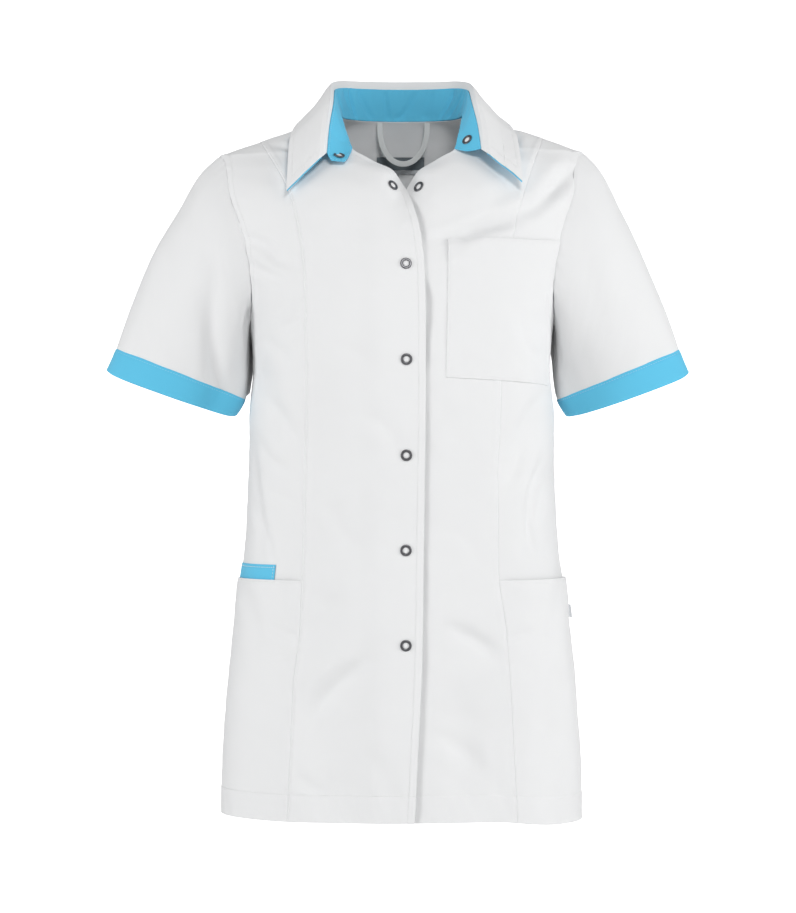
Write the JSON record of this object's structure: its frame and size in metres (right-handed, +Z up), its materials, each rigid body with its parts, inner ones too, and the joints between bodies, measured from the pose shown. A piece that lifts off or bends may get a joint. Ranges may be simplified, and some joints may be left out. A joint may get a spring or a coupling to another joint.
{
  "type": "medical tunic",
  "caption": "Women's short-sleeved medical tunic with a shirt collar, princess seams, chest and hip pockets, coloured cuffs and collar facing, and ring snaps.",
  "frame": {"origin": "midway between the two points where the shoulder seams meet the neck, where the garment hangs on its wearer's shoulders", "axes": "+Z up the wearer's body, -Y out of the front, +X to the wearer's left"},
  "size_m": [0.6109, 0.257, 0.7718],
  "materials": {
    "white_twill": "white cotton and polyester twill",
    "blue_twill": "light blue twill trim",
    "snap_metal": "bright nickel-coloured ring",
    "white_tape": "narrow woven tape",
    "dark_label": "dark grey woven label, bare",
    "pale_label": "light grey woven label, bare"
  },
  "bodies": {
    "root": {"front_centre_right": "white_twill", "front_centre_left": "white_twill", "front_side_right": "white_twill", "front_side_left": "white_twill", "back": "white_twill", "sleeve_right": "white_twill", "sleeve_left": "white_twill", "cuff_right": "blue_twill", "cuff_left": "blue_twill", "collar_stand": "blue_twill", "collar_leaf": "white_twill", "undercollar": "blue_twill", "chest_pocket": "white_twill", "pocket_right": "white_twill", "pocket_left": "white_twill", "inner_pocket": "blue_twill", "hanger_loop": "white_tape", "neck_label": "dark_label", "size_label": "pale_label", "side_label": "pale_label", "snap_1": "snap_metal", "snap_2": "snap_metal", "snap_3": "snap_metal", "snap_4": "snap_metal", "snap_5": "snap_metal", "snap_top_right": "snap_metal", "snap_top_left": "snap_metal", "snap_collar_right": "snap_metal", "snap_collar_left": "snap_metal"}
  },
  "joints": []
}
